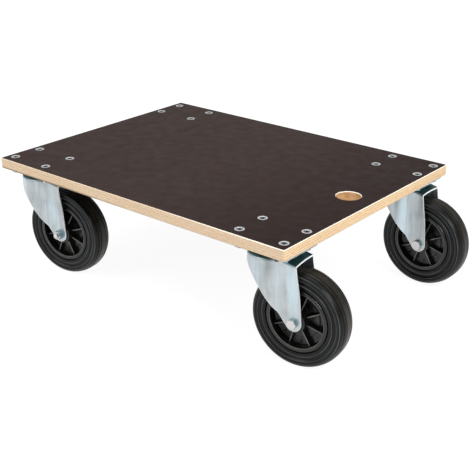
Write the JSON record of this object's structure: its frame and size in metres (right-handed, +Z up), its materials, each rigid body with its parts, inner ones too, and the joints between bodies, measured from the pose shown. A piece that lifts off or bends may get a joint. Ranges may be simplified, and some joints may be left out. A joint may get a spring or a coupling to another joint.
{
  "type": "furniture dolly",
  "caption": "Low furniture dolly: flat film-faced plywood deck with a round hand hole, bolted to swivel castors with rubber-tyred wheels.",
  "frame": {"origin": "centre of the deck's load face", "axes": "+Z up out of the load face; +X along the deck's length, towards the end with the hand hole; +Y across the deck"},
  "size_m": [0.8947, 0.6, 0.262],
  "materials": {
    "plywood": "bare sanded edge",
    "deck_film": "satin phenolic film",
    "bolt_zinc": "bright zinc",
    "zinc_sheet": "blue passivated zinc",
    "bearing_steel": "ground and greased",
    "rim_plastic": "satin moulded",
    "tyre_rubber": "moulded black rubber",
    "cage_plastic": "natural moulded"
  },
  "bodies": {
    "deck": {"deck_core": "plywood", "deck_top_film": "deck_film", "deck_bottom_film": "deck_film", "deck_bolts": "bolt_zinc", "deck_nuts": "bolt_zinc", "front_right_mounting_plate": "zinc_sheet", "front_right_king_pin": "zinc_sheet", "front_right_lower_race": "zinc_sheet", "front_left_mounting_plate": "zinc_sheet", "front_left_king_pin": "zinc_sheet", "front_left_lower_race": "zinc_sheet", "rear_right_mounting_plate": "zinc_sheet", "rear_right_king_pin": "zinc_sheet", "rear_right_lower_race": "zinc_sheet", "rear_left_mounting_plate": "zinc_sheet", "rear_left_king_pin": "zinc_sheet", "rear_left_lower_race": "zinc_sheet"},
    "front_right_fork_body": {"front_right_fork": "zinc_sheet", "front_right_swivel_balls": "bearing_steel", "front_right_axle_bolt": "bolt_zinc", "front_right_axle_nut": "bolt_zinc", "front_right_axle_tube": "bearing_steel"},
    "front_right_wheel_body": {"front_right_wheel_rim": "rim_plastic", "front_right_tyre": "tyre_rubber", "front_right_roller_cage": "cage_plastic", "front_right_rollers": "bearing_steel"},
    "front_left_fork_body": {"front_left_fork": "zinc_sheet", "front_left_swivel_balls": "bearing_steel", "front_left_axle_bolt": "bolt_zinc", "front_left_axle_nut": "bolt_zinc", "front_left_axle_tube": "bearing_steel"},
    "front_left_wheel_body": {"front_left_wheel_rim": "rim_plastic", "front_left_tyre": "tyre_rubber", "front_left_roller_cage": "cage_plastic", "front_left_rollers": "bearing_steel"},
    "rear_right_fork_body": {"rear_right_fork": "zinc_sheet", "rear_right_swivel_balls": "bearing_steel", "rear_right_axle_bolt": "bolt_zinc", "rear_right_axle_nut": "bolt_zinc", "rear_right_axle_tube": "bearing_steel"},
    "rear_right_wheel_body": {"rear_right_wheel_rim": "rim_plastic", "rear_right_tyre": "tyre_rubber", "rear_right_roller_cage": "cage_plastic", "rear_right_rollers": "bearing_steel"},
    "rear_left_fork_body": {"rear_left_fork": "zinc_sheet", "rear_left_swivel_balls": "bearing_steel", "rear_left_axle_bolt": "bolt_zinc", "rear_left_axle_nut": "bolt_zinc", "rear_left_axle_tube": "bearing_steel"},
    "rear_left_wheel_body": {"rear_left_wheel_rim": "rim_plastic", "rear_left_tyre": "tyre_rubber", "rear_left_roller_cage": "cage_plastic", "rear_left_rollers": "bearing_steel"}
  },
  "joints": [
    {"name": "front_right_swivel", "type": "hinge", "parent": "deck", "child": "front_right_fork_body", "pos_m": [0.3285, -0.239, -0.037], "axis": [0, 0, 1], "continuous": true},
    {"name": "front_right_wheel_spin", "type": "hinge", "parent": "front_right_fork_body", "child": "front_right_wheel_body", "pos_m": [0.39401, -0.23096, -0.162], "axis": [-0.1219, 0.9925, 0], "continuous": true},
    {"name": "front_left_swivel", "type": "hinge", "parent": "deck", "child": "front_left_fork_body", "pos_m": [0.3285, 0.239, -0.037], "axis": [0, 0, 1], "continuous": true},
    {"name": "front_left_wheel_spin", "type": "hinge", "parent": "front_left_fork_body", "child": "front_left_wheel_body", "pos_m": [0.3945, 0.239, -0.162], "axis": [0, 1, 0], "continuous": true},
    {"name": "rear_right_swivel", "type": "hinge", "parent": "deck", "child": "rear_right_fork_body", "pos_m": [-0.3285, -0.239, -0.037], "axis": [0, 0, 1], "continuous": true},
    {"name": "rear_right_wheel_spin", "type": "hinge", "parent": "rear_right_fork_body", "child": "rear_right_wheel_body", "pos_m": [-0.26314, -0.22981, -0.162], "axis": [-0.1392, 0.9903, 0], "continuous": true},
    {"name": "rear_left_swivel", "type": "hinge", "parent": "deck", "child": "rear_left_fork_body", "pos_m": [-0.3285, 0.239, -0.037], "axis": [0, 0, 1], "continuous": true},
    {"name": "rear_left_wheel_spin", "type": "hinge", "parent": "rear_left_fork_body", "child": "rear_left_wheel_body", "pos_m": [-0.26275, 0.24475, -0.162], "axis": [-0.0872, 0.9962, 0], "continuous": true}
  ]
}
